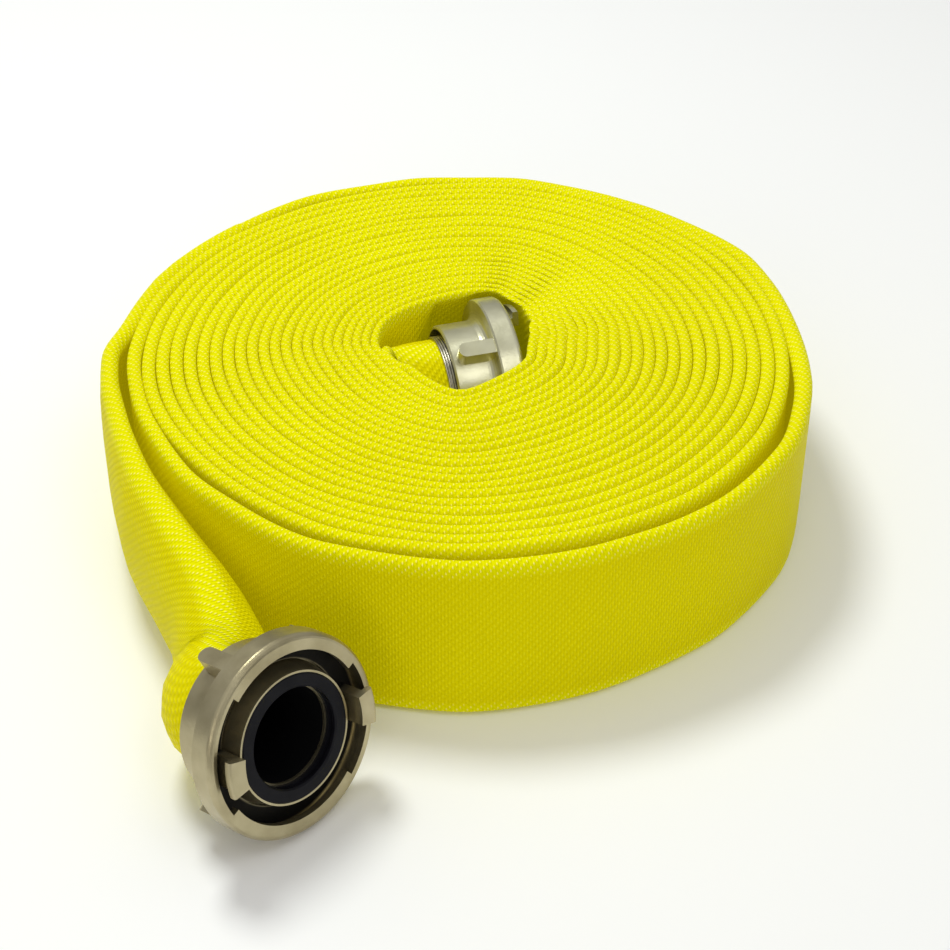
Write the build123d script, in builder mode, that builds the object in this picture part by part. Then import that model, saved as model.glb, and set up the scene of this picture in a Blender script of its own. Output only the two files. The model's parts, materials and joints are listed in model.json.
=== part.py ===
"""Rolled lay-flat fire hose, 75 mm bore, with a symmetrical two-claw coupling on each end.

The hose lies wound on edge round an open core. Its inner coupling stands in the core and its
outer coupling lies in front of the roll, at the end of the last turn, which opens from flat to
round. Each coupling head turns on its own hose tail. Floor at z = 0, +Z up, millimetres.
"""
import os
from math import cos, hypot, pi, radians, sin, sqrt

from build123d import *

os.makedirs("parts", exist_ok=True)

# The roll
ROLL_X, ROLL_Y = 6.55, 70.18  # axis of the roll, from the centre of the whole object's footprint
ROLL_RADIUS = 240.0
HOSE_WIDTH = 120.0  # lay-flat width, so also the height of the roll
JACKET_RADIUS = 39.3  # outside of the hose where it is round
LINING_RADIUS = 37.4
LINING_BORE = 36.05

# Coupling, measured along its own axis from the front face of the rim
RIM_RADIUS = 63.0
RIM_WIDTH = 17.0
RIM_ROUND = 3.4  # round of the rim's front edge
EDGE_BEVEL = 1.1
RIM_COVE = 6.0  # hollow fillet between the rim's rear face and the skirt
LIP_RADIUS = 53.0
LIP_DEPTH = 5.0
SLOT_RADIUS = 57.4
RECESS_RADIUS = 58.5
RECESS_DEPTH = 12.0
HEAD_LENGTH = 46.5
SKIRT_RADIUS = 48.5
SKIRT_BORE = 46.2
COLLAR_BORE = 41.06
COLLAR_FRONT = 15.4
COLLAR_REAR = 25.0
CLAW_INNER = 44.7
CLAW_STEM = 51.2
CLAW_OUTER = 56.0
CLAW_REACH = 9.8
CLAW_ROOT = 0.5  # how far the claws run into the recess floor
HOOK_DEPTH = 4.4
HOOK_ROUND = 1.4
SLOT_START, SLOT_SPAN = 124.0, 76.0  # degrees round the rim, repeated half a turn on
CLAW_START, CLAW_SPAN = 160.0, 24.0
RIB_RADIUS = 60.5
RIB_WIDTH = 11.0
RIB_ROOT = 2.0
RIB_END = 43.0
RIB_ANGLES = (37.0, 107.0, 217.0)

FLANGE_TIP = 41.0
FLANGE_ROOT = 44.0
FLANGE_REAR = 13.9
FLANGE_PROUD = 0.5
SEAT_RADIUS = 39.7
SEAT_DEPTH = 7.5
JOURNAL_RADIUS = 41.0
JOURNAL_END = 31.0
GROOVE_RADIUS = 39.4
GROOVE_FRONT, GROOVE_REAR = 25.6, 28.4
WATERWAY_RADIUS = 30.0
SHANK_RADIUS = 36.0
SHANK_ROOT = 35.2
SHANK_START = 33.0
TAIL_LENGTH = 62.0
TAIL_BEVEL = 1.5
BARB_PITCH = 5.8
BARB_COUNT = 5
BARB_RISE = 0.25  # parts of a pitch
BARB_SLOPE = 0.6

SEAL_BORE = 31.0
SEAL_PROUD = 1.2
SEAL_BEVEL = 0.9
POCKET_RADIUS = 35.2
POCKET_FRONT, POCKET_REAR = 1.8, 5.2
POCKET_SLOPE = 1.1
SLIDE_RING_RADIUS = 43.8
SLIDE_RING_WIDTH = 1.2
SNAP_RING_RADIUS = 43.9
SNAP_RING_WIDTH = 2.4
SNAP_RING_GAP = 18.0  # degrees
WIRE_RADIUS = 0.93
WIRE_START = 37.0
WIRE_TURNS = 8
WIRE_PITCH = 1.85
HOSE_START = 33.5  # where the hose begins on the tail
LINING_END = 66.0


def on_roll(x, y, z):
    """A place given from the axis of the roll, in the frame of the whole object."""
    return Vector(ROLL_X + x, ROLL_Y + y, z)


def coupling_face(origin, azimuth, elevation, turn):
    """Plane on the front face of a rim: its normal is the coupling's axis.

    Its x is where the coupling counts its angles from: turn degrees round the axis from level.
    """
    azimuth, elevation, turn = radians(azimuth), radians(elevation), radians(turn)
    normal = Vector(cos(elevation) * cos(azimuth), cos(elevation) * sin(azimuth), sin(elevation))
    level = Vector(-sin(azimuth), cos(azimuth), 0)
    rise = normal.cross(level)
    return Plane(origin, x_dir=level * cos(turn) + rise * sin(turn), z_dir=normal)


OUTER_FACE = coupling_face(on_roll(-97.4, -330.4, 65.8), azimuth=-42.3, elevation=15.0, turn=0.0)
INNER_FACE = coupling_face(on_roll(30.3, 30.2, 63.8), azimuth=16.0, elevation=0.0, turn=80.0)

# Clearances of the core round the parts that lie in it
HEAD_SWEEP = 0.9
HOSE_SWEEP = 0.4
CLAW_SWEEP = 1.0
SWEEP_END = 57.0


def half_section(face, angle=0):
    """Plane through a coupling's axis: x is the radius, y the distance forward of the face."""
    angle = radians(angle)
    outward = face.x_dir * cos(angle) + face.y_dir * sin(angle)
    return Plane(face.origin, x_dir=outward, z_dir=outward.cross(face.z_dir))


class RingSegment(BaseSketchObject):
    """Sketch object: a segment of a ring, from start, over span, in degrees."""

    def __init__(self, inner, outer, start, span, mode=Mode.ADD):
        with BuildSketch() as segment:
            with BuildLine():
                outside = CenterArc((0, 0), outer, start, span)
                inside = CenterArc((0, 0), inner, start, span)
                Line(inside @ 0, outside @ 0)
                Line(inside @ 1, outside @ 1)
            make_face()
        super().__init__(segment.sketch, rotation=0, align=None, mode=mode)


def cove(radius, depth, size, steps=5):
    """Points of a hollow quarter circle between a step's face and the round below it."""
    points = []
    for step in range(steps + 1):
        angle = pi / 2 * (1 + step / steps)
        points.append((radius + size + size * cos(angle), -depth - size + size * sin(angle)))
    return points


def rounded_edge(radius, depth, size, steps=4):
    """Points of a quarter circle round the front edge of a rim."""
    points = []
    for step in range(steps + 1):
        angle = pi / 2 * (1 - step / steps)
        points.append((radius - size + size * cos(angle), depth - size + size * sin(angle)))
    return points


def head_profile():
    """Half section of a coupling head: rim, recess, collar and skirt."""
    return (
        (LIP_RADIUS, 0),
        *rounded_edge(RIM_RADIUS, 0, RIM_ROUND),
        (RIM_RADIUS, EDGE_BEVEL - RIM_WIDTH),
        (RIM_RADIUS - EDGE_BEVEL, -RIM_WIDTH),
        *cove(SKIRT_RADIUS, RIM_WIDTH, RIM_COVE),
        (SKIRT_RADIUS, EDGE_BEVEL - HEAD_LENGTH),
        (SKIRT_RADIUS - EDGE_BEVEL, -HEAD_LENGTH),
        (SKIRT_BORE, -HEAD_LENGTH),
        (SKIRT_BORE, -COLLAR_REAR),
        (COLLAR_BORE, -COLLAR_REAR),
        (COLLAR_BORE, -COLLAR_FRONT),
        (CLAW_INNER, -COLLAR_FRONT),
        (CLAW_INNER, -RECESS_DEPTH),
        (RECESS_RADIUS, -RECESS_DEPTH),
        (RECESS_RADIUS, -LIP_DEPTH),
        (LIP_RADIUS, -LIP_DEPTH),
    )


def claw_profile():
    """Half section of a claw: a stem out of the recess floor with a hook that points outwards."""
    return (
        (CLAW_INNER, -RECESS_DEPTH - CLAW_ROOT),
        (CLAW_STEM, -RECESS_DEPTH - CLAW_ROOT),
        (CLAW_STEM, CLAW_REACH - HOOK_DEPTH),
        (CLAW_OUTER, CLAW_REACH - HOOK_DEPTH),
        *reversed(rounded_edge(CLAW_OUTER, CLAW_REACH, HOOK_ROUND)),
        (CLAW_INNER, CLAW_REACH),
    )


def tail_profile():
    """Half section of a hose tail: flange with its seal seat, journal, groove and barbed shank."""
    barbs = []
    for index in range(BARB_COUNT):
        crest = -SHANK_START - (index + BARB_RISE) * BARB_PITCH
        barbs.append((SHANK_RADIUS, crest))
        barbs.append((SHANK_ROOT, crest - BARB_SLOPE * BARB_PITCH))
    return (
        (WATERWAY_RADIUS, -SEAT_DEPTH),
        (SEAT_RADIUS, -SEAT_DEPTH),
        (SEAT_RADIUS, FLANGE_PROUD),
        (FLANGE_TIP, FLANGE_PROUD),
        (FLANGE_ROOT, -FLANGE_REAR),
        (JOURNAL_RADIUS, -FLANGE_REAR),
        (JOURNAL_RADIUS, -GROOVE_FRONT),
        (GROOVE_RADIUS, -GROOVE_FRONT),
        (GROOVE_RADIUS, -GROOVE_REAR),
        (JOURNAL_RADIUS, -GROOVE_REAR),
        (JOURNAL_RADIUS, -JOURNAL_END),
        (SHANK_ROOT, -SHANK_START),
        *barbs,
        (SHANK_ROOT, TAIL_BEVEL - TAIL_LENGTH),
        (SHANK_ROOT - TAIL_BEVEL, -TAIL_LENGTH),
        (WATERWAY_RADIUS, -TAIL_LENGTH),
    )


def seal_profile():
    """Half section of a lip seal: a proud face and a lip that the water presses outwards."""
    return (
        (SEAL_BORE, -SEAT_DEPTH),
        (SEAT_RADIUS, -SEAT_DEPTH),
        (SEAT_RADIUS, SEAL_PROUD - SEAL_BEVEL),
        (SEAT_RADIUS - SEAL_BEVEL, SEAL_PROUD),
        (SEAL_BORE + SEAL_BEVEL, SEAL_PROUD),
        (SEAL_BORE, SEAL_PROUD - SEAL_BEVEL),
        (SEAL_BORE, -POCKET_FRONT),
        (POCKET_RADIUS, -POCKET_FRONT - POCKET_SLOPE),
        (POCKET_RADIUS, POCKET_SLOPE - POCKET_REAR),
        (SEAL_BORE, -POCKET_REAR),
    )


def band_profile(inner, outer, front, rear):
    """Half section of a plain ring between two depths behind the face."""
    return ((inner, -front), (outer, -front), (outer, -rear), (inner, -rear))


def save(part, node):
    part.label = node
    export_step(part, f"parts/{node}.step")


def coupling(name, face):
    """Everything that one end of the hose carries, written as one node each."""
    axis = Axis(face.origin, face.z_dir)
    half = half_section(face)

    with BuildPart() as head:
        with BuildSketch(half):
            Polygon(*head_profile(), align=None)
        revolve(axis=axis)
        rib_front = EDGE_BEVEL - RIM_WIDTH
        rib_rear = RIB_WIDTH / 2 - RIB_END
        for rib_angle in RIB_ANGLES:
            angle = radians(rib_angle)
            outward = face.x_dir * cos(angle) + face.y_dir * sin(angle)
            root = face.origin + outward * (SKIRT_RADIUS - RIB_ROOT)
            with BuildSketch(Plane(root, x_dir=face.z_dir, z_dir=outward)):
                with Locations(((rib_front + rib_rear) / 2, 0)):
                    Rectangle(rib_front - rib_rear, RIB_WIDTH)
                with Locations((rib_rear, 0)):
                    Circle(RIB_WIDTH / 2)
            extrude(amount=RIB_RADIUS - SKIRT_RADIUS + RIB_ROOT)
        for turn in (0, 180):
            with BuildSketch(face):
                RingSegment(CLAW_OUTER - HOOK_DEPTH, SLOT_RADIUS, SLOT_START + turn, SLOT_SPAN)
            extrude(amount=-LIP_DEPTH, mode=Mode.SUBTRACT)
            with BuildSketch(half_section(face, CLAW_START + turn)):
                Polygon(*claw_profile(), align=None)
            revolve(axis=axis, revolution_arc=CLAW_SPAN)
    save(head.part, f"{name}_coupling_head")

    with BuildPart() as tail:
        with BuildSketch(half):
            Polygon(*tail_profile(), align=None)
        revolve(axis=axis)
    save(tail.part, f"{name}_hose_tail")

    with BuildPart() as seal:
        with BuildSketch(half):
            Polygon(*seal_profile(), align=None)
        revolve(axis=axis)
    save(seal.part, f"{name}_seal_ring")

    with BuildPart() as slide_ring:
        with BuildSketch(half):
            rear = FLANGE_REAR + SLIDE_RING_WIDTH
            Polygon(*band_profile(JOURNAL_RADIUS, SLIDE_RING_RADIUS, FLANGE_REAR, rear), align=None)
        revolve(axis=axis)
    save(slide_ring.part, f"{name}_slide_ring")

    with BuildPart() as snap_ring:
        with BuildSketch(half):
            front = GROOVE_REAR - SNAP_RING_WIDTH
            Polygon(*band_profile(GROOVE_RADIUS, SNAP_RING_RADIUS, front, GROOVE_REAR), align=None)
        revolve(axis=axis, revolution_arc=360 - SNAP_RING_GAP)
    save(snap_ring.part, f"{name}_snap_ring")

    with BuildPart() as binding:
        with BuildSketch(half):
            wire_middle = JACKET_RADIUS + WIRE_RADIUS
            for turn in range(WIRE_TURNS):
                with Locations((wire_middle, -WIRE_START - turn * WIRE_PITCH)):
                    Circle(WIRE_RADIUS)
            with Locations((wire_middle, -WIRE_START - (WIRE_TURNS - 1) * WIRE_PITCH / 2)):
                Rectangle(WIRE_RADIUS, (WIRE_TURNS - 1) * WIRE_PITCH)
        revolve(axis=axis)
    save(binding.part, f"{name}_wire_binding")

    with BuildPart() as lining:
        with BuildSketch(half):
            Polygon(*band_profile(LINING_BORE, LINING_RADIUS, HOSE_START, LINING_END), align=None)
        revolve(axis=axis)
    save(lining.part, f"{name}_hose_lining")


def half_height(half_width):
    """Half height of the hose's oval section, whose girth stays that of the round hose."""
    girth = 2 * pi * JACKET_RADIUS
    low, high = half_width, HOSE_WIDTH / 2
    for _ in range(40):
        middle = (low + high) / 2
        ramanujan = 3 * (middle + half_width) - sqrt((3 * middle + half_width) * (middle + 3 * half_width))
        if pi * ramanujan < girth:
            low = middle
        else:
            high = middle
    return low


def across(centre, heading):
    """Plane across the hose: its x runs level and its y up."""
    return Plane(centre, x_dir=Vector(0, 0, 1).cross(heading), z_dir=heading)


def behind(face, distance):
    """Point on a coupling's axis behind its front face."""
    return face.origin - face.z_dir * distance


# Route of the free outer end, from the last turn to the coupling: x, y from the roll's axis
# and the half width of the oval there
FREE_END = (
    (-240.6, 0.0, 10.4),
    (-238.0, -43.0, 10.2),
    (-229.4, -91.0, 12.6),
    (-211.5, -136.0, 16.3),
    (-188.5, -178.0, 21.0),
    (-162.5, -220.0, 25.5),
    (-145.0, -262.0, 30.5),
)

with BuildPart() as outer_end:
    places = [on_roll(x, y, half_height(width)) for x, y, width in FREE_END]
    places.append(behind(OUTER_FACE, LINING_END))
    heading = Vector(0, -1, 0)
    for index, (_, _, width) in enumerate(FREE_END):
        if index > 0:
            heading = (places[index + 1] - places[index - 1]).normalized()
        with BuildSketch(across(places[index], heading)):
            Ellipse(width, half_height(width))
    for distance in (LINING_END, HOSE_START):
        with BuildSketch(across(behind(OUTER_FACE, distance), OUTER_FACE.z_dir)):
            Circle(JACKET_RADIUS)
    loft(ruled=True)
    with BuildSketch(half_section(OUTER_FACE)):
        Polygon(*band_profile(0, LINING_RADIUS, SHANK_START, LINING_END), align=None)
    revolve(axis=Axis(OUTER_FACE.origin, OUTER_FACE.z_dir), mode=Mode.SUBTRACT)
save(outer_end.part, "outer_hose_end")

# The inner end: round on its tail, then squeezed flat where it folds back into the first turn
INNER_FLAT_DISTANCE = 80.0
INNER_FLAT_HALF_WIDTH = 16.0

with BuildPart() as inner_end:
    for distance in (HOSE_START, LINING_END):
        with BuildSketch(across(behind(INNER_FACE, distance), INNER_FACE.z_dir)):
            Circle(JACKET_RADIUS)
    fold = behind(INNER_FACE, INNER_FLAT_DISTANCE)
    fold.Z = HOSE_WIDTH / 2
    with BuildSketch(across(fold, INNER_FACE.z_dir)):
        Ellipse(INNER_FLAT_HALF_WIDTH, half_height(INNER_FLAT_HALF_WIDTH))
    loft(ruled=True)
inner_solid = inner_end.part
with inner_end:
    with BuildSketch(half_section(INNER_FACE)):
        Polygon(*band_profile(0, LINING_RADIUS, SHANK_START, LINING_END), align=None)
    revolve(axis=Axis(INNER_FACE.origin, INNER_FACE.z_dir), mode=Mode.SUBTRACT)
save(inner_end.part, "inner_hose_end")

# Plan of the roll, in roll radii: the loose last turn has soft kinks, and it ends a hose
# thickness inside its own start, where the free end leaves
OUTER_KINKS = (
    (-1.046, 0.0),
    (-0.82, 0.55),
    (-0.52, 0.84),
    (-0.16, 0.97),
    (0.19, 0.98),
    (0.58, 0.81),
    (0.88, 0.51),
    (0.98, 0.075),
    (0.92, -0.45),
    (0.35, -0.92),
    (-0.4, -0.9),
    (-0.956, 0.0),
)
CORE_OUTLINE = (
    (-0.208, -0.023),
    (-0.245, 0.04),
    (-0.224, 0.129),
    (-0.115, 0.225),
    (0.004, 0.275),
    (0.091, 0.269),
    (0.135, 0.204),
    (0.171, 0.092),
    (0.18, -0.038),
    (0.096, -0.163),
    (-0.002, -0.231),
    (-0.096, -0.178),
)
CORE_CLEARANCE = (
    (0, CLAW_REACH + CLAW_SWEEP),
    (CLAW_OUTER + HEAD_SWEEP, CLAW_REACH + CLAW_SWEEP),
    (CLAW_OUTER + HEAD_SWEEP, HEAD_SWEEP),
    (RIM_RADIUS + HEAD_SWEEP, HEAD_SWEEP),
    (RIM_RADIUS + HEAD_SWEEP, -RIM_WIDTH - HEAD_SWEEP),
    (RIB_RADIUS + HEAD_SWEEP, -RIM_WIDTH - HEAD_SWEEP),
    (RIB_RADIUS + HEAD_SWEEP, -RIB_END - HEAD_SWEEP),
    (SKIRT_RADIUS + HEAD_SWEEP, -RIB_END - HEAD_SWEEP),
    (SKIRT_RADIUS + HEAD_SWEEP, -HEAD_LENGTH - HEAD_SWEEP),
    (JACKET_RADIUS + 2 * WIRE_RADIUS + HOSE_SWEEP, -HEAD_LENGTH - HEAD_SWEEP),
    (JACKET_RADIUS + 2 * WIRE_RADIUS + HOSE_SWEEP, -SWEEP_END),
    (0, -SWEEP_END),
)


def plan(point):
    """Plan point given in roll radii."""
    return Vector(ROLL_X + point[0] * ROLL_RADIUS, ROLL_Y + point[1] * ROLL_RADIUS)


def bow(start, end):
    """Point between two points of an outline, as far from the roll's axis as they are."""
    middle = Vector((start[0] + end[0]) / 2, (start[1] + end[1]) / 2)
    reach = (hypot(*start) + hypot(*end)) / 2
    return (middle.X * reach / middle.length, middle.Y * reach / middle.length)


with BuildPart() as roll:
    with BuildSketch():
        with BuildLine():
            for start, end in zip(OUTER_KINKS, OUTER_KINKS[1:]):
                ThreePointArc(plan(start), plan(bow(start, end)), plan(end))
            Line(plan(OUTER_KINKS[-1]), plan(OUTER_KINKS[0]))
        make_face()
        with BuildLine():
            Spline(*[plan(point) for point in CORE_OUTLINE], periodic=True)
        make_face(mode=Mode.SUBTRACT)
    extrude(amount=HOSE_WIDTH)
    with BuildSketch(half_section(INNER_FACE)):
        Polygon(*CORE_CLEARANCE, align=None)
    revolve(axis=Axis(INNER_FACE.origin, INNER_FACE.z_dir), mode=Mode.SUBTRACT)
    add(inner_solid, mode=Mode.SUBTRACT)
save(roll.part, "wound_hose")

coupling("outer", OUTER_FACE)
coupling("inner", INNER_FACE)
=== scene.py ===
"""Looks of a rolled lay-flat fire hose: a yellow woven jacket, aluminium couplings and rubber seals.

The hose is one flattened tube. It starts on the inner coupling's tail in the core, folds back into
the first turn, winds outwards, leaves the roll at the left and opens to round at the outer coupling.
All lengths are metres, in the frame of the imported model.
"""
import json
from math import pi, radians, sin

import bmesh
import bpy
import numpy as np
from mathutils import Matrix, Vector


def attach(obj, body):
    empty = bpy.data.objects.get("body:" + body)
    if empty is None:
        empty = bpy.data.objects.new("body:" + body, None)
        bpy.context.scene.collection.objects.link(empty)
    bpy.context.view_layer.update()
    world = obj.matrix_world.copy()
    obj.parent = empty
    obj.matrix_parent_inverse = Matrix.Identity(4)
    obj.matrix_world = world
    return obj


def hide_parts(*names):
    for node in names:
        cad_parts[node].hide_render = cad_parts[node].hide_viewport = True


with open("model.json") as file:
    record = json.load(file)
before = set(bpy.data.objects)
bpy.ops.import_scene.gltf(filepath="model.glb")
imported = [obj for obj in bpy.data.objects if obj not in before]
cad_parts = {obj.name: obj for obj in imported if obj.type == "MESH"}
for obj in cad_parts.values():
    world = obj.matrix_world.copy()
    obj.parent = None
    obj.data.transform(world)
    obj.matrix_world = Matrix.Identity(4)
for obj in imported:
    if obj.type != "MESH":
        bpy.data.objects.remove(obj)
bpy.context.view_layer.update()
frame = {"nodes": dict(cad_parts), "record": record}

# ---------------------------------------------------------------------------------------------
# Driving dimensions
# ---------------------------------------------------------------------------------------------
ROLL_AXIS = np.array((0.00655, 0.07018))  # plan
ROLL_RADIUS = 0.240
HOSE_WIDTH = 0.120
ROUND_RADIUS = 0.0393  # of the hose's skin where it is round, on a coupling's tail
GIRTH = 2 * pi * ROUND_RADIUS
WALL = 0.0019
FLAT_THICKNESS = 0.0044  # both walls of the flattened hose away from its folded edges
TURNS = 23
COLUMN = 0.00202  # weft pitch along the hose
ROW = 0.00212  # warp pitch round the hose

# the hose lies straight on a coupling's tail and its lining at these depths behind the face
TAIL_START = 0.0335
TAIL_MIDDLE = 0.05
TAIL_END = 0.066

FLOOR_GAP = 0.0002  # the floor lies this far below zero height, and the hose as far above it

# ---------------------------------------------------------------------------------------------
# Camera
# ---------------------------------------------------------------------------------------------
CAMERA_FROM_ROLL = (0.00747, -1.17867, 0.91705)
CAMERA_DIP = 37.7965  # degrees below level
CAMERA_LENS = 77.7  # millimetres
SENSOR_WIDTH = 36.0


def make_camera():
    data = bpy.data.cameras.new("camera")
    data.lens = CAMERA_LENS
    data.sensor_width = SENSOR_WIDTH
    camera = bpy.data.objects.new("camera", data)
    camera.location = (
        ROLL_AXIS[0] + CAMERA_FROM_ROLL[0],
        ROLL_AXIS[1] + CAMERA_FROM_ROLL[1],
        CAMERA_FROM_ROLL[2],
    )
    camera.rotation_euler = (radians(90 - CAMERA_DIP), 0, 0)
    bpy.context.collection.objects.link(camera)
    bpy.context.scene.camera = camera


make_camera()

# ---------------------------------------------------------------------------------------------
# Small helpers
# ---------------------------------------------------------------------------------------------


def mount(name):
    """Place and outward axis of one of the record's mounts."""
    found = next(m for m in frame["record"]["mounts"] if m["name"] == name)
    return np.array(found["pos_m"]), np.array(found["axis"])


def smooth(x, low, high):
    t = np.clip((np.asarray(x, float) - low) / (high - low), 0, 1)
    return t * t * (3 - 2 * t)


def blurred(values, reach):
    """Values along a line, averaged under a bell whose spread is reach samples."""
    span = int(3 * reach) + 1
    bell = np.exp(-0.5 * (np.arange(-span, span + 1) / reach) ** 2)
    padded = np.concatenate([np.full(span, values[0]), values, np.full(span, values[-1])])
    return np.convolve(padded, bell / bell.sum(), "valid")


def along(points):
    """Distance travelled at each point of a line."""
    steps = np.linalg.norm(np.diff(points, axis=0), axis=1)
    return np.concatenate([[0], np.cumsum(steps)])


def rows_at(stops, travelled, rows):
    """Rows at distances between those that the given rows have travelled."""
    return np.stack([np.interp(stops, travelled, column) for column in rows.T], 1)


def catmull(points, per_span):
    """Smooth line through points."""
    p = np.vstack([2 * points[0] - points[1], points, 2 * points[-1] - points[-2]])
    out = []
    t = np.linspace(0, 1, per_span, endpoint=False)[:, None]
    for a, b, c, d in zip(p, p[1:], p[2:], p[3:]):
        square, cube = 2 * a - 5 * b + 4 * c - d, 3 * b - a - 3 * c + d
        out.append(0.5 * (2 * b + (c - a) * t + square * t**2 + cube * t**3))
    return np.vstack(out + [points[-1:]])


# ---------------------------------------------------------------------------------------------
# Route of the hose
# ---------------------------------------------------------------------------------------------
# Outside of the last turn in plan, in roll radii, once round from the left to the free end's start.
# It is soft-kinked at these points, and flatter between them than an arc.
LAST_TURN = (
    (-0.983, 0.0),
    (-0.74, -0.61),
    (-0.4, -0.9),
    (0.0, -0.985),
    (0.35, -0.92),
    (0.69, -0.73),
    (0.908, -0.444),
    (0.978, -0.188),
    (0.98, 0.075),
    (0.88, 0.51),
    (0.58, 0.81),
    (0.19, 0.98),
    (-0.16, 0.97),
    (-0.52, 0.84),
    (-0.815, 0.58),
    (-0.935, 0.41),
    (-0.995, 0.235),
    (-1.02, 0.114),
    (-1.048, 0.0),
)
# Wall of the core at the top, in roll radii, less what the first turn adds on its way round
CORE_OUTLINE = (
    (-0.2076, -0.0218),
    (-0.0925, -0.1740),
    (-0.0039, -0.2246),
    (0.0927, -0.1543),
    (0.1519, -0.0877),
    (0.1680, -0.0357),
    (0.1574, 0.0837),
    (0.1265, 0.1876),
    (0.0863, 0.2506),
    (0.0044, 0.2546),
    (-0.1046, 0.2053),
    (-0.2020, 0.1167),
    (-0.2229, 0.0195),
    (-0.2076, -0.0218),
)
FIRST_TURN_START = 0.085  # in turns
LAST_TURN_STOP = TURNS - 0.012
SAMPLES = 144  # of the spiral in one turn
PITCH_GROWTH = 0.22  # the outer turns lie looser than the inner ones
TURNS_EDGE = 0.993  # outside of the turns before they bulge, in roll radii
FIRST_HALF_WIDTH = 0.0032  # of the hose in the tight first turns
NARROWEST = 0.0026  # half width of the hose anywhere in the roll
PITCH_SHARE = 0.488  # of the pitch, taken up by a turn's half width
FOLD_RADIUS = 0.0049  # of the rounded folded edges, where the turns have room

LEFT_BULGE = 0.0042  # of the outer turns, where the last one comes off them
LEFT_BULGE_ANGLE = radians(168)
RIGHT_BULGE = 0.0050  # of the outer turns, under the last one's kink
RIGHT_BULGE_ANGLE = radians(42)
STRAIGHTNESS = 0.35  # of the last turn between its kinks
LAST_TURN_SLACK = 0.0022  # the last turn stands off by this, but for its two ends
LAST_TURN_SAG = 0.0012  # how far the last turn may lie inside the even roll
PUFF = 0.0018  # the last turn's half width grows by this at the right
PUFF_ANGLE = radians(28)
# the turns under the last one give with its kinks: how many turns back, and by what share
FOLLOWING_TURNS = ((1, 0.45), (2, 0.25), (3, 0.12))
OPENING = 0.17  # turns in which the last one opens towards the free end's first width
OVAL_START = 0.12  # turns in which it starts to become oval
FIRST_OVAL = 0.25  # how oval it is where the free end starts

FRONT_LEAN = 0.0085  # of the last turn's lower edge, outwards at the front
LEAN_RISE = (TURNS - 0.92, TURNS - 0.80)  # turns between which it sets in
LEAN_FALL = (TURNS - 0.75, TURNS - 0.62)  # turns between which it dies away

INNER_EVENING = 0.005  # reach over which the inner end's bends are evened out
OUTER_EVENING = 0.0085
PAST_LINING = 0.004  # the free end starts to bend this far behind the outer lining

# Inner end after the inner coupling's tail: plan from the roll's axis, half width and how oval
INNER_END = (
    (-0.0475, 0.0045, 0.0210, 1.0),
    (-0.0565, -0.0055, 0.0062, 0.35),
    (-0.0525, -0.0165, 0.0040, 0.0),
    (-0.0415, -0.0300, 0.0036, 0.0),
)
# Free outer end up to the outer coupling's tail: plan from the roll's axis and half width
FREE_END = (
    (-0.2464, 0.0010, 0.0078),
    (-0.2422, -0.0360, 0.0128),
    (-0.2275, -0.0860, 0.0156),
    (-0.2090, -0.1340, 0.0176),
    (-0.1840, -0.1790, 0.0205),
    (-0.1590, -0.2200, 0.0258),
    (-0.1425, -0.2640, 0.0330),
)


def polar(outline):
    """Angles and radii of an outline's points."""
    p = np.array(outline)
    angle = np.unwrap(np.arctan2(p[:, 1], p[:, 0]))
    if angle[0] < 0:
        angle += 2 * pi
    return angle, np.hypot(p[:, 0], p[:, 1])


def last_turn_radius(turn_angle):
    """Outside radius of the last turn at angles from half a turn on."""
    angle, radius = polar(LAST_TURN)
    fine = np.linspace(angle[0], angle[-1], 1441)
    arc = np.interp(fine, angle, radius)
    chord = arc.copy()
    for a0, a1, r0, r1 in zip(angle, angle[1:], radius, radius[1:]):
        inside = (fine >= a0) & (fine <= a1)
        f = fine[inside]
        chord[inside] = r0 * r1 * sin(a1 - a0) / (r0 * np.sin(f - a0) + r1 * np.sin(a1 - f))
    mixed = arc + (chord - arc) * STRAIGHTNESS
    evened = np.interp(turn_angle, fine, blurred(mixed, 8)) * ROLL_RADIUS
    loose = smooth(turn_angle, pi, pi + 0.6) * (1 - smooth(turn_angle, 3 * pi - 0.9, 3 * pi - 0.3))
    return evened + LAST_TURN_SLACK * loose


def core_radius(turn_angle):
    """Radius of the core's wall, from its outline at the top."""
    outline = catmull(np.array(CORE_OUTLINE), 30)
    angle = np.arctan2(outline[:, 1], outline[:, 0]) % (2 * pi)
    order = np.argsort(angle)
    angle, radius = angle[order], np.hypot(outline[:, 0], outline[:, 1])[order]
    angle = np.concatenate([angle - 2 * pi, angle, angle + 2 * pi])
    radius = np.tile(radius, 3)
    return np.interp(turn_angle % (2 * pi), angle, radius) * ROLL_RADIUS


def turn_radius(turn, angle):
    """Centre line radius of the turns, before the last one's kinks."""
    share = turn / TURNS
    share = (1 - PITCH_GROWTH) * share + PITCH_GROWTH * share**2
    inner = core_radius(angle) + FIRST_HALF_WIDTH
    outside = TURNS_EDGE * ROLL_RADIUS - FOLD_RADIUS
    bulge = LEFT_BULGE * smooth(np.cos(angle - LEFT_BULGE_ANGLE), 0.6, 1.0)
    bulge = bulge + RIGHT_BULGE * smooth(np.cos(angle - RIGHT_BULGE_ANGLE), 0.45, 1.0)
    return inner + (outside - inner) * share + bulge * share**3


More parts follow.
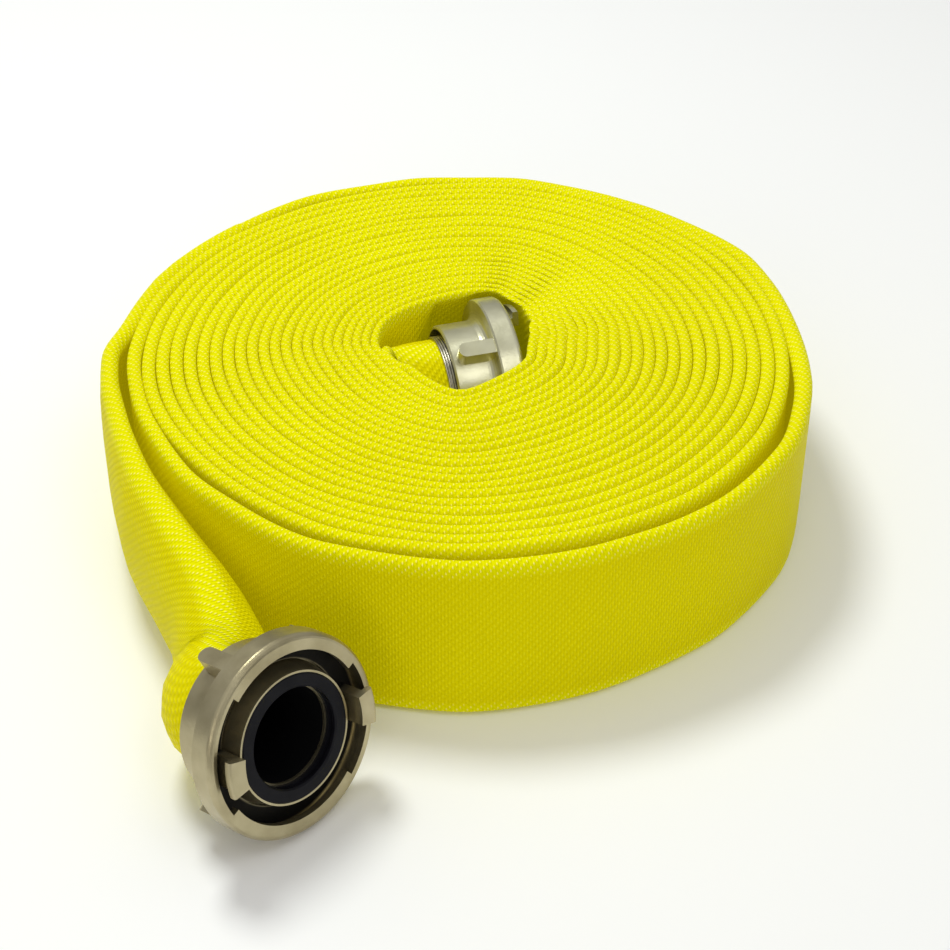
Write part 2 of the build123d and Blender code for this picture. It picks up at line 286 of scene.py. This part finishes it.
def spiral():
    """Polar centre line of the turns: turn number, angle, radius and half width."""
    count = int((TURNS - FIRST_TURN_START) * SAMPLES)
    turn = np.linspace(FIRST_TURN_START, LAST_TURN_STOP, count)
    angle = pi + 2 * pi * turn
    radius = turn_radius(turn, angle)
    last_angle = angle - 2 * pi * (TURNS - 1)
    opening = smooth(turn, TURNS - OPENING, TURNS)
    last_width = FOLD_RADIUS + (FREE_END[0][2] - FOLD_RADIUS) * opening
    last_width = last_width + PUFF * smooth(np.cos(angle - PUFF_ANGLE), 0.3, 0.9)
    kinked = last_turn_radius(np.clip(last_angle, pi, 3 * pi)) - last_width
    loose = smooth(turn, TURNS - 1 - 0.02, TURNS - 1 + 0.06)
    radius = radius + (np.maximum(kinked, radius - LAST_TURN_SAG) - radius) * loose
    for back, follow in FOLLOWING_TURNS:
        under = (turn > TURNS - 1 - back) & (turn <= TURNS - back)
        over = last_angle[under] + 2 * pi * back
        shape = last_turn_radius(np.clip(over, pi, 3 * pi))
        inside = smooth(over, pi, pi + 0.9) * (1 - smooth(over, 3 * pi - 0.9, 3 * pi))
        radius[under] += follow * (shape - blurred(shape, 30)) * inside
    step = np.full(len(turn), 1.0)
    step[SAMPLES:] = radius[SAMPLES:] - radius[:-SAMPLES]
    step[:-SAMPLES] = np.minimum(step[:-SAMPLES], radius[SAMPLES:] - radius[:-SAMPLES])
    width = np.clip(PITCH_SHARE * blurred(np.clip(step, 0.004, 0.02), 4), NARROWEST, FOLD_RADIUS)
    width = np.where(turn > TURNS - 1, last_width, width)
    return turn, angle, radius, width


def half_height(half_width):
    """Half height of an oval of the hose's girth."""
    low, high = half_width, HOSE_WIDTH / 2
    for _ in range(40):
        middle = (low + high) / 2
        diagonal = np.sqrt((3 * middle + half_width) * (middle + 3 * half_width))
        girth = pi * (3 * (middle + half_width) - diagonal)
        low, high = (middle, high) if girth < GIRTH else (low, middle)
    return low


def rounded(rows, reach):
    """Rows along a line, evened out over a distance; the first three columns are its points."""
    travelled = along(rows[:, :3])
    step = 0.002
    stops = np.arange(0, travelled[-1], step)
    fine = rows_at(stops, travelled, rows)
    span = int(3 * reach / step)
    before = fine[0] + (fine[0] - fine[1]) * np.arange(span, 0, -1)[:, None]
    after = fine[-1] + (fine[-1] - fine[-2]) * np.arange(1, span + 1)[:, None]
    padded = np.vstack([before, fine, after])
    bell = np.exp(-0.5 * (np.arange(-span, span + 1) * step / reach) ** 2)
    bell /= bell.sum()
    return np.stack([np.convolve(column, bell, "valid") for column in padded.T], 1)


def route():
    """The hose's whole line: x, y, z, half width, how oval it is and its turn number."""
    inner_face, inner_axis = mount("inner_claws")
    outer_face, outer_axis = mount("outer_claws")
    middle = HOSE_WIDTH / 2
    turn, angle, radius, width = spiral()
    plan = ROLL_AXIS + np.stack([np.cos(angle), np.sin(angle)], 1) * radius[:, None]
    oval = FIRST_OVAL * smooth(turn, TURNS - OVAL_START, TURNS)
    roll = np.column_stack([plan, np.full(len(turn), middle), width, oval, turn])

    start = []
    for depth in (TAIL_START, TAIL_MIDDLE, TAIL_END):
        start.append((*(inner_face - inner_axis * depth), ROUND_RADIUS, 1.0, 0.0))
    for x, y, half_width, share in INNER_END:
        start.append((ROLL_AXIS[0] + x, ROLL_AXIS[1] + y, middle, half_width, share, 0.0))
    start = rounded(np.vstack([start, roll[:6]]), INNER_EVENING)

    end = []
    for index, (x, y, half_width) in enumerate(FREE_END):
        share = min(1.0, FIRST_OVAL + 0.1 * index**2)
        height = half_height(half_width)
        end.append((ROLL_AXIS[0] + x, ROLL_AXIS[1] + y, height, half_width, share, TURNS))
    for depth in (TAIL_END + PAST_LINING, TAIL_MIDDLE, TAIL_START):
        end.append((*(outer_face - outer_axis * depth), ROUND_RADIUS, 1.0, TURNS))
    end = rounded(np.vstack([roll[-8:], end]), OUTER_EVENING)
    return np.vstack([start, roll[7:-9], end])


# ---------------------------------------------------------------------------------------------
# Section of the hose
# ---------------------------------------------------------------------------------------------
FOLD_POINTS = 8  # round each folded edge
SIDE_POINTS = 8  # along each side
FOLD_SHARE = 0.075  # of the girth
FOLD_INSET = 0.0006  # of the folded edges from the hose's full width
HOLLOW_RAMP = 0.016  # from a fold to the thin middle
WIDEST_FLAT = 0.0072  # half width above which the flat section isn't widened further
NARROWEST_OVAL = 0.004  # half width


def ring_shares():
    """Places round the girth, from the middle of the outer side and up, denser at the two folds."""
    half = FOLD_SHARE / 2
    up = np.linspace(0, 0.25 - half, SIDE_POINTS // 2, endpoint=False)
    over = np.linspace(0.25 - half, 0.25 + half, FOLD_POINTS, endpoint=False)
    inner = np.linspace(0.25 + half, 0.75 - half, SIDE_POINTS, endpoint=False)
    under = np.linspace(0.75 - half, 0.75 + half, FOLD_POINTS, endpoint=False)
    back = np.linspace(0.75 + half, 1.0, SIDE_POINTS // 2, endpoint=False)
    return np.concatenate([up, over, inner, under, back])


SHARES = ring_shares()


def walk(outline):
    """Points at SHARES round a closed outline that starts in the middle of its outer side."""
    closed = np.vstack([outline, outline[:1]])
    travelled = along(closed)
    ring = rows_at(SHARES * travelled[-1], travelled, closed)
    return ring * (GIRTH / travelled[-1])


def flat_section(edge):
    """Flattened hose: flat outside, rounded folds of radius edge, and a thinner middle."""
    half = HOSE_WIDTH / 2 - FOLD_INSET
    hollow = max(0.0, 2 * edge - FLAT_THICKNESS)
    turn = np.linspace(0, pi, 25)
    fold_top = np.stack([edge * np.cos(turn), half - edge + edge * np.sin(turn)], 1)
    z = np.linspace(half - edge, edge - half, 41)[1:-1]
    inner = np.stack([-edge + hollow * smooth(half - np.abs(z), edge, edge + HOLLOW_RAMP), z], 1)
    return walk(np.vstack([[[edge, 0.0]], fold_top, inner, -fold_top]))


def oval_section(half_width):
    turn = np.linspace(0, 2 * pi, 240, endpoint=False)
    height = half_height(half_width) if half_width < ROUND_RADIUS - 1e-5 else half_width
    return walk(np.stack([half_width * np.cos(turn), height * np.sin(turn)], 1))


def section(half_width, oval):
    """Ring across the hose, as (outwards, up) from its centre."""
    flat = flat_section(min(half_width, WIDEST_FLAT))
    if oval <= 0:
        return flat
    return flat + (oval_section(max(half_width, NARROWEST_OVAL)) - flat) * oval


# ---------------------------------------------------------------------------------------------
# Room for the inner coupling: the turns round it are pushed out at its height
# ---------------------------------------------------------------------------------------------
PUSHED_TURNS = 14
HEAD_CLEARANCE = 0.0015
# stretches of the inner head: start and stop ahead of its face, and the radius that it sweeps
HEAD_SWEEP = (
    (-0.0480, -0.0440, 0.0500),
    (-0.0440, -0.0170, 0.0618),
    (-0.0180, 0.0010, 0.0643),
    (0.0, 0.0112, 0.0575),
)
HEAD_SCAN = np.arange(0, 0.13, 0.001)  # distances from the roll's axis that are tried
SWEEP_ANGLES = np.linspace(-pi, pi, 181)
SWEEP_HEIGHTS = np.linspace(0, HOSE_WIDTH, 25)


def head_reach():
    """How far the inner head's sweep reaches from the roll's axis, by height and angle."""
    face, axis = mount("inner_claws")
    reach = HEAD_SCAN[:, None]
    x = ROLL_AXIS[0] + reach * np.cos(SWEEP_ANGLES) - face[0]
    y = ROLL_AXIS[1] + reach * np.sin(SWEEP_ANGLES) - face[1]
    ahead, aside = x * axis[0] + y * axis[1], x * -axis[1] + y * axis[0]
    rows = []
    for height in SWEEP_HEIGHTS:
        farthest = np.zeros(len(SWEEP_ANGLES))
        for start, stop, radius in HEAD_SWEEP:
            half = np.sqrt(max(0.0, radius**2 - (height - face[2]) ** 2))
            inside = (ahead >= start) & (ahead <= stop) & (np.abs(aside) < half)
            farthest = np.maximum(farthest, (inside * reach).max(axis=0))
        rows.append(blurred(farthest, 1.5))
    return np.array(rows)


HEAD_REACH = head_reach()


def pushed(vertices, turn):
    """Vertices of the inner turns, moved out from the inner head."""
    offset = vertices[:, :, :2] - ROLL_AXIS
    radius = np.linalg.norm(offset, axis=2)
    angle = np.arctan2(offset[:, :, 1], offset[:, :, 0])
    column = (angle + pi) / (2 * pi) * (len(SWEEP_ANGLES) - 1)
    row = np.clip(vertices[:, :, 2] / HOSE_WIDTH, 0, 1) * (len(SWEEP_HEIGHTS) - 1)
    c, r = column.astype(int), row.astype(int)
    c1 = np.minimum(c + 1, len(SWEEP_ANGLES) - 1)
    r1 = np.minimum(r + 1, len(SWEEP_HEIGHTS) - 1)
    fc, fr = column - c, row - r
    low = HEAD_REACH[r, c] * (1 - fc) + HEAD_REACH[r, c1] * fc
    high = HEAD_REACH[r1, c] * (1 - fc) + HEAD_REACH[r1, c1] * fc
    needed = low + (high - low) * fr + HEAD_CLEARANCE
    fade = np.clip(1 - turn / PUSHED_TURNS, 0, 1)[:, None]
    push = np.maximum(0, needed - core_radius(angle)) * fade
    vertices[:, :, :2] += offset / radius[:, :, None] * push[:, :, None]
    return vertices


# ---------------------------------------------------------------------------------------------
# The hose
# ---------------------------------------------------------------------------------------------
RING_STEP = 0.0075
END_STEP = 0.0045
INNER_LENGTH = 0.12  # of the inner end, in the smaller steps
OUTER_LENGTH = 0.62  # of the free end and what leads to it, in the smaller steps
UNPUSHED_LENGTH = 0.1  # of the inner end, which holds the inner coupling
OUTER_PASSAGE = 0.20  # modelled depth of the hose's open inside at each end
INNER_PASSAGE = 0.04
RIPPLE_START = 0.3  # in turns
# how far the turns' upper edges drop unevenly: depth, wavelength along the hose and phase
RIPPLES = ((0.0012, 0.43, 0.4), (0.0008, 0.117, 2.1))


def resampled(rows):
    """The line at even steps, smaller at both ends."""
    travelled = along(rows[:, :3])
    total = travelled[-1]
    stops = [0.0]
    while stops[-1] < total - END_STEP:
        near_end = stops[-1] < INNER_LENGTH or stops[-1] > total - OUTER_LENGTH
        stops.append(stops[-1] + (END_STEP if near_end else RING_STEP))
    stops[-1] = total
    stops = np.array(stops)
    return stops, rows_at(stops, travelled, rows)


def headings(line):
    """Direction of travel at each point of a line."""
    steps = np.diff(line, axis=0)
    steps = np.vstack([steps[:1], steps, steps[-1:]])
    mean = steps[:-1] / np.linalg.norm(steps[:-1], axis=1)[:, None]
    mean = mean + steps[1:] / np.linalg.norm(steps[1:], axis=1)[:, None]
    return mean / np.linalg.norm(mean, axis=1)[:, None]


def ripple(stops, wavelength, phase):
    """Slow uneven wave along the hose, from 0 to 1."""
    wander = 1.7 * np.sin(2 * pi * stops / (2.7 * wavelength))
    return 0.5 + 0.5 * np.sin(2 * pi * stops / wavelength + phase + wander)


def hose_rings():
    """The hose's rings of vertices, with their centres and their distances along it."""
    stops, rows = resampled(route())
    line, widths, ovals, turns = rows[:, :3], rows[:, 3], rows[:, 4], rows[:, 5]
    forward = headings(line)
    outward = np.cross(forward, (0, 0, 1.0))
    outward /= np.linalg.norm(outward, axis=1)[:, None]
    upright = np.cross(outward, forward)
    rings = np.zeros((len(line), len(SHARES), 3))
    for i, (width, oval) in enumerate(zip(widths, ovals)):
        flat = section(width, oval)
        rings[i] = line[i] + outward[i] * flat[:, :1] + upright[i] * flat[:, 1:]
    # the last turn leans out at the front, its lower edge farther than its upper one
    front = smooth(turns, *LEAN_RISE) * (1 - smooth(turns, *LEAN_FALL))
    lean = FRONT_LEAN * front[:, None] * (1 - rings[:, :, 2] / HOSE_WIDTH)
    rings += outward[:, None, :] * lean[:, :, None]
    rolled = (turns > RIPPLE_START) & (ovals <= 0)
    drop = sum(depth * ripple(stops, wavelength, phase) for depth, wavelength, phase in RIPPLES)
    rings[:, :, 2] *= (1 - np.where(rolled, drop, 0) / HOSE_WIDTH)[:, None]
    near = (turns < PUSHED_TURNS) & (stops > UNPUSHED_LENGTH)
    rings[near] = pushed(rings[near], turns[near])
    lowest = rings[:, :, 2].min(axis=1)
    rings[:, :, 2] += np.maximum(0, FLOOR_GAP - lowest)[:, None]
    return stops, line, rings


def tube_faces(first, count, flip=False):
    """Quads between rings of vertices that start at index first."""
    size = len(SHARES)
    i, j = np.meshgrid(np.arange(count - 1), np.arange(size), indexing="ij")
    k = (j + 1) % size
    quads = np.stack([i * size + j, (i + 1) * size + j, (i + 1) * size + k, i * size + k], -1)
    quads = quads.reshape(-1, 4)
    return (first + (quads[:, ::-1] if flip else quads)).tolist()


def weave_places(stops):
    """Distances along and round the hose at the vertices of rings that stand at stops."""
    return np.stack(np.meshgrid(stops, SHARES * GIRTH, indexing="ij"), -1).reshape(-1, 2)


def lay_weave(mesh, places):
    """Give each face corner its place on the hose, so that the weave runs on over the seam."""
    layer = mesh.uv_layers.new(name="weave")
    corners = np.empty(len(mesh.loops), int)
    mesh.loops.foreach_get("vertex_index", corners)
    uv = places[corners]
    for polygon in mesh.polygons:
        part = uv[polygon.loop_start:polygon.loop_start + polygon.loop_total]
        if np.ptp(part[:, 1]) > GIRTH / 2:
            part[part[:, 1] < GIRTH / 4, 1] += GIRTH
    layer.data.foreach_set("uv", uv.ravel())


def build_hose():
    """The whole hose as one closed skin, and its length: jacket outside, a lined passage at each end."""
    stops, line, rings = hose_rings()
    count, size = rings.shape[:2]
    places = [weave_places(stops)]
    vertices, faces = [rings.reshape(-1, 3)], tube_faces(0, count)
    jacket_faces = len(faces)
    first = count * size
    for depth, end, order in ((INNER_PASSAGE, 0, 1), (OUTER_PASSAGE, count - 1, -1)):
        length = int(np.sum(np.abs(stops - stops[end]) < depth))
        chosen = end + order * np.arange(length)
        arms = rings[chosen] - line[chosen][:, None]
        reach = np.linalg.norm(arms, axis=2, keepdims=True)
        vertices.append((line[chosen][:, None] + arms * (1 - WALL / reach)).reshape(-1, 3))
        places.append(weave_places(stops[chosen]))
        rim, lip = end * size, first
        for j in range(size):
            k = (j + 1) % size
            faces.append((rim + j, rim + k, lip + k, lip + j))
        faces += tube_faces(first, length, flip=True)
        faces.append(tuple(range(first + (length - 1) * size, first + length * size)))
        first += length * size
    mesh = bpy.data.meshes.new("hose")
    mesh.from_pydata(np.vstack(vertices).tolist(), [], faces)
    shape = bmesh.new()
    shape.from_mesh(mesh)
    bmesh.ops.recalc_face_normals(shape, faces=shape.faces)
    shape.to_mesh(mesh)
    shape.free()
    lay_weave(mesh, np.vstack(places))
    mesh.polygons.foreach_set("use_smooth", [True] * len(mesh.polygons))
    lined = np.zeros(len(mesh.polygons), int)
    lined[jacket_faces:] = 1
    mesh.polygons.foreach_set("material_index", lined)
    mesh.update()
    hose = bpy.data.objects.new("hose", mesh)
    bpy.context.collection.objects.link(hose)
    return hose, float(stops[-1])


# ---------------------------------------------------------------------------------------------
# Materials
# ---------------------------------------------------------------------------------------------
BLACK = (0, 0, 0)
WHITE = (1, 1, 1)
# painted shade: near black, put on each coupling's recess and waterway, which lie in shade
PAINTED_SHADE = (0.012, 0.012, 0.013)
# the same aluminium on both couplings. Its tones are painted lighter on the inner one, as painted light
# for the brighter reflection there, and darker and browner on the outer one: light and dark tone of each
METAL_TONES_LIT_AND_SHADED = {
    "outer": ((0.52, 0.46, 0.29), (0.36, 0.31, 0.18)),
    "inner": ((0.74, 0.72, 0.52), (0.54, 0.52, 0.34)),
}
WATERWAY_RADIUS = 0.0312
WATERWAY_START = 0.0092  # depth behind a coupling's face, from where the waterway is painted dark as shade
RECESS_SHADE_DEPTH = 0.0165  # depth behind a coupling's face, just past the recess, where its painted shade stops
RECESS_SHADE_COVER = 0.975  # share of the recess's tone that its painted shade takes over


class Nodes:
    """A material's nodes, with short calls to add them."""

    def __init__(self, name):
        self.material = bpy.data.materials.new(name)
        self.material.use_nodes = True
        self.tree = self.material.node_tree
        self.shader = self.tree.nodes["Principled BSDF"]

    def link(self, source, target):
        self.tree.links.new(source, target)

    def math(self, operation, a, b=None, c=None):
        node = self.tree.nodes.new("ShaderNodeMath")
        node.operation = operation
        for index, value in enumerate((a, b, c)):
            if isinstance(value, (int, float)):
                node.inputs[index].default_value = value
            elif value is not None:
                self.link(value, node.inputs[index])
        return node.outputs[0]

    def ramp(self, factor, *stops):
        node = self.tree.nodes.new("ShaderNodeValToRGB")
        ramp = node.color_ramp
        while len(ramp.elements) < len(stops):
            ramp.elements.new(0.5)
        for element, (place, colour) in zip(ramp.elements, stops):
            element.position = place
            element.color = (*colour, 1)
        self.link(factor, node.inputs[0])
        return node.outputs[0]

    def vector(self, operation, a, b, output="Vector"):
        node = self.tree.nodes.new("ShaderNodeVectorMath")
        node.operation = operation
        for index, value in enumerate((a, b)):
            if isinstance(value, tuple):
                node.inputs[index].default_value = value
            else:
                self.link(value, node.inputs[index])
        return node.outputs[output]

    def mixed(self, factor, a, b, blend="MIX"):
        node = self.tree.nodes.new("ShaderNodeMix")
        node.data_type = "RGBA"
        node.blend_type = blend
        for name, value in (("Factor", factor), ("A", a), ("B", b)):
            socket = next(s for s in node.inputs if s.name == name and s.enabled)
            if isinstance(value, tuple):
                socket.default_value = (*value, 1)
            elif isinstance(value, float):
                socket.default_value = value
            else:
                self.link(value, socket)
        return next(s for s in node.outputs if s.enabled)

    def multiplied(self, a, b, share):
        return self.mixed(share, a, b, blend="MULTIPLY")

    def place(self):
        return self.tree.nodes.new("ShaderNodeTexCoord").outputs["Object"]

    def noise(self, scale, detail):
        node = self.tree.nodes.new("ShaderNodeTexNoise")
        node.inputs["Scale"].default_value = scale
        node.inputs["Detail"].default_value = detail
        self.link(self.place(), node.inputs["Vector"])
        return node.outputs["Fac"]

    def bump(self, height, strength, distance):
        node = self.tree.nodes.new("ShaderNodeBump")
        node.inputs["Strength"].default_value = strength
        node.inputs["Distance"].default_value = distance
        self.link(height, node.inputs["Height"])
        self.link(node.outputs[0], self.shader.inputs["Normal"])

    def set(self, **values):
        for key, value in values.items():
            self.shader.inputs[key.replace("_", " ")].default_value = value


def weave_place(nodes):
    """Distances along and round the hose, at the shaded point."""
    uv = nodes.tree.nodes.new("ShaderNodeUVMap")
    uv.uv_map = "weave"
    split = nodes.tree.nodes.new("ShaderNodeSeparateXYZ")
    nodes.link(uv.outputs[0], split.inputs[0])
    return split.outputs[0], split.outputs[1]


def weave_height(nodes):
    """Height of a 2/1 twill on the hose: 0 between the floats, 1 on their crowns."""
    travelled, around = weave_place(nodes)
    column = nodes.math("DIVIDE", travelled, COLUMN)
    row = nodes.math("DIVIDE", around, ROW)

    def wave(a, b, size):
        across = nodes.math("MULTIPLY", column, 2 * pi * a)
        turn = nodes.math("ADD", across, nodes.math("MULTIPLY", row, 2 * pi * b))
        return nodes.math("MULTIPLY", nodes.math("COSINE", turn), size)

    total = wave(1 / 3, -1 / 3, 0.32)
    for a, b, size in ((2 / 3, 1 / 3, 0.20), (1.0, 0.0, 0.24), (1 / 3, 2 / 3, 0.12)):
        total = nodes.math("ADD", total, wave(a, b, size))
    return nodes.math("MULTIPLY_ADD", total, 0.5, 0.5)


def lit_fold_share(nodes):
    """1 along the two folded edges of the hose, 0 on its sides. The folds form the roll's top, where
    light falls: they are painted paler and greener than the sides, mostly as painted light and partly
    because the jacket is rubbed paler there.
    """
    around = weave_place(nodes)[1]
    swing = nodes.math("COSINE", nodes.math("MULTIPLY", around, 4 * pi / GIRTH))
    return nodes.ramp(nodes.math("MULTIPLY_ADD", swing, -0.5, 0.5), (0.88, BLACK), (0.97, WHITE))


def jacket_material():
    """Fluorescent yellow woven polyester: painted shade between the floats, painted highlights on their
    crowns, paler along the lit folds, and a faint painted glow.
    """
    nodes = Nodes("hose_jacket")
    height = weave_height(nodes)
    # painted shade and highlight: the ramps paint the weave dark between the floats and pale on their
    # crowns
    side = nodes.ramp(
        height,
        (0.0, (0.48, 0.42, 0.0)),
        (0.5, (0.70, 0.62, 0.0)),
        (1.0, (0.82, 0.76, 0.01)),
    )
    # along the folds the crowns are painted near white: painted highlights of the yarn's sheen
    fold = nodes.ramp(
        height,
        (0.0, (0.52, 0.51, 0.0)),
        (0.35, (0.72, 0.71, 0.0)),
        (0.62, (0.82, 0.79, 0.0)),
        (0.78, (0.94, 0.86, 0.07)),
        (0.95, (1.0, 0.92, 0.28)),
    )
    # painted light: the folds, which form the roll's lit top, take the paler and greener ramp, and the
    # sides take the darker one as painted shade
    colour = nodes.mixed(lit_fold_share(nodes), side, fold)
    tone = nodes.ramp(nodes.noise(9.0, 4.0), (0.3, (0.86, 0.80, 0.7)), (0.7, WHITE))
    nodes.link(nodes.multiplied(colour, tone, 0.35), nodes.shader.inputs["Base Color"])
    # the emission is a faint painted glow that lifts the jacket where it lies in shade
    nodes.set(Roughness=0.42, Specular_IOR_Level=0.06, IOR=1.25, Emission_Strength=0.12)
    nodes.set(Specular_Tint=(1.0, 0.95, 0.15, 1), Emission_Color=(0.9, 0.84, 0.0, 1))
    nodes.bump(height, 1.0, 0.0013)
    return nodes.material


def axis_coordinates(nodes, end):
    """Depth behind a coupling's face and distance from its axis, at the shaded point."""
    face, axis = mount(f"{end}_claws")
    offset = nodes.vector("SUBTRACT", nodes.place(), tuple(face))
    ahead = nodes.vector("DOT_PRODUCT", offset, tuple(axis), output="Value")
    square = nodes.vector("DOT_PRODUCT", offset, offset, output="Value")
    aside = nodes.math("SUBTRACT", square, nodes.math("MULTIPLY", ahead, ahead))
    return nodes.math("MULTIPLY", ahead, -1.0), nodes.math("SQRT", nodes.math("MAXIMUM", aside, 0.0))


def metal_material(end):
    """Forged aluminium: satin and mottled outside, rougher and painted nearly black as shade in the
    recess and in the waterway.
    """
    nodes = Nodes(f"{end}_coupling_metal")
    depth, radius = axis_coordinates(nodes, end)
    # painted light: the inner coupling's tones are lighter than the outer one's, for the brighter light
    # on it
    light, dark = METAL_TONES_LIT_AND_SHADED[end]
    cast = nodes.ramp(nodes.noise(38.0, 5.0), (0.3, dark), (0.7, light))
    wide = nodes.math("MULTIPLY", radius, 10.0)
    deep = nodes.math("MULTIPLY", depth, 20.0)
    recess = nodes.math("LESS_THAN", depth, RECESS_SHADE_DEPTH)
    for ramp in (
        nodes.ramp(wide, (0.44, BLACK), (0.455, WHITE)),
        nodes.ramp(wide, (0.565, WHITE), (0.583, BLACK)),
        nodes.ramp(deep, (0.06, BLACK), (0.20, WHITE)),
    ):
        recess = nodes.math("MULTIPLY", recess, ramp)
    below_seal = nodes.math("GREATER_THAN", depth, WATERWAY_START)
    waterway = nodes.math("MULTIPLY", nodes.math("LESS_THAN", radius, WATERWAY_RADIUS), below_seal)
    # painted shade: the recess and the waterway take the near-black colour in place of their shade, and
    # are made rougher
    painted_shade = nodes.math("MAXIMUM", nodes.math("MULTIPLY", recess, RECESS_SHADE_COVER), waterway)
    nodes.link(nodes.mixed(painted_shade, cast, PAINTED_SHADE), nodes.shader.inputs["Base Color"])
    gloss = nodes.math("MULTIPLY_ADD", nodes.noise(120.0, 3.0), 0.16, 0.24)
    nodes.link(nodes.math("MULTIPLY_ADD", painted_shade, 0.35, gloss), nodes.shader.inputs["Roughness"])
    nodes.set(Metallic=0.92)
    nodes.bump(nodes.noise(700.0, 3.0), 0.3, 0.0003)
    return nodes.material


def plain_metal(name, dark, light, roughness):
    """Drawn steel with uneven streaks."""
    nodes = Nodes(name)
    streak = nodes.noise(200.0, 3.0)
    nodes.link(nodes.ramp(streak, (0.3, dark), (0.7, light)), nodes.shader.inputs["Base Color"])
    nodes.link(nodes.math("MULTIPLY_ADD", streak, 0.2, roughness), nodes.shader.inputs["Roughness"])
    nodes.set(Metallic=1.0)
    nodes.bump(streak, 0.2, 0.0002)
    return nodes.material


def moulded_material(name, colour, roughness):
    """Rubber or plastic with a faint mottle and a fine grain."""
    nodes = Nodes(name)
    nodes.set(Specular_IOR_Level=0.1)
    mottle = nodes.noise(60.0, 4.0)
    light = tuple(c * 1.6 + 0.004 for c in colour)
    nodes.link(nodes.ramp(mottle, (0.3, colour), (0.75, light)), nodes.shader.inputs["Base Color"])
    nodes.link(nodes.math("MULTIPLY_ADD", mottle, 0.2, roughness - 0.1), nodes.shader.inputs["Roughness"])
    nodes.bump(nodes.noise(1400.0, 2.0), 0.25, 0.0002)
    return nodes.material


JACKET = jacket_material()
SEAL = moulded_material("seal_rubber", (0.004, 0.004, 0.006), 0.42)
LINING = moulded_material("hose_lining", (0.004, 0.004, 0.005), 0.5)
PLASTIC = moulded_material("slide_plastic", (0.55, 0.55, 0.52), 0.4)
SPRING = plain_metal("spring_steel", (0.38, 0.38, 0.39), (0.45, 0.45, 0.46), 0.2)
WIRE = plain_metal("binding_wire", (0.34, 0.32, 0.25), (0.52, 0.49, 0.40), 0.25)

for end in ("outer", "inner"):
    metal = metal_material(end)
    node_materials = {
        "coupling_head": metal,
        "hose_tail": metal,
        "seal_ring": SEAL,
        "slide_ring": PLASTIC,
        "snap_ring": SPRING,
        "wire_binding": WIRE,
        "hose_lining": LINING,
    }
    for kind, material in node_materials.items():
        piece = frame["nodes"][f"{end}_{kind}"]
        piece.data.materials.clear()
        piece.data.materials.append(material)

hose, hose_length = build_hose()
hose.data.materials.append(JACKET)
hose.data.materials.append(LINING)
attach(hose, "hose")
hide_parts("wound_hose", "outer_hose_end", "inner_hose_end")

# ---------------------------------------------------------------------------------------------
# Floor and light
# ---------------------------------------------------------------------------------------------
FLOOR_REACH = 6.0  # from the middle to each side
LIGHTS_TARGET = Vector((0, 0, 0.05))
HORIZON_GREY = (0.42, 0.42, 0.42, 1)
SURROUND_STRENGTH = 0.56


def make_floor():
    mesh = bpy.data.meshes.new("floor")
    signs = ((-1, -1), (1, -1), (1, 1), (-1, 1))
    mesh.from_pydata([(FLOOR_REACH * x, FLOOR_REACH * y, 0) for x, y in signs], [], [(0, 1, 2, 3)])
    floor = bpy.data.objects.new("floor", mesh)
    floor.location.z = -FLOOR_GAP
    bpy.context.collection.objects.link(floor)
    nodes = Nodes("floor")
    nodes.set(Roughness=0.6, Base_Color=(0.95, 0.95, 0.94, 1))
    floor.data.materials.append(nodes.material)


def make_light(name, place, size, power, colour=WHITE):
    data = bpy.data.lights.new(name, "AREA")
    data.shape = "DISK"
    data.size = size
    data.energy = power
    data.color = colour
    light = bpy.data.objects.new(name, data)
    light.location = place
    light.rotation_euler = (LIGHTS_TARGET - Vector(place)).to_track_quat("-Z", "Y").to_euler()
    bpy.context.collection.objects.link(light)


def make_world():
    """Soft studio surround: white overhead, grey at the horizon."""
    world = bpy.data.worlds.new("world")
    world.use_nodes = True
    tree = world.node_tree
    background = tree.nodes["Background"]
    place = tree.nodes.new("ShaderNodeTexCoord")
    split = tree.nodes.new("ShaderNodeSeparateXYZ")
    tree.links.new(place.outputs["Generated"], split.inputs[0])
    ramp = tree.nodes.new("ShaderNodeValToRGB")
    horizon, overhead = ramp.color_ramp.elements
    horizon.position, horizon.color = 0.0, HORIZON_GREY
    overhead.position, overhead.color = 0.75, (*WHITE, 1)
    tree.links.new(split.outputs["Z"], ramp.inputs[0])
    tree.links.new(ramp.outputs[0], background.inputs["Color"])
    background.inputs["Strength"].default_value = SURROUND_STRENGTH
    bpy.context.scene.world = world


make_floor()
make_light("key", (-0.6, 0.8, 2.2), 0.7, 29, (0.97, 1.0, 0.97))
make_light("left", (-1.7, -0.9, 0.8), 0.9, 0.6)
make_light("right", (0.6, -0.85, 1.95), 0.8, 4)
make_light("front", (-0.4, -2.1, 0.9), 1.0, 6, (1.0, 0.95, 0.88))
make_world()
bpy.context.scene.view_settings.view_transform = "Standard"
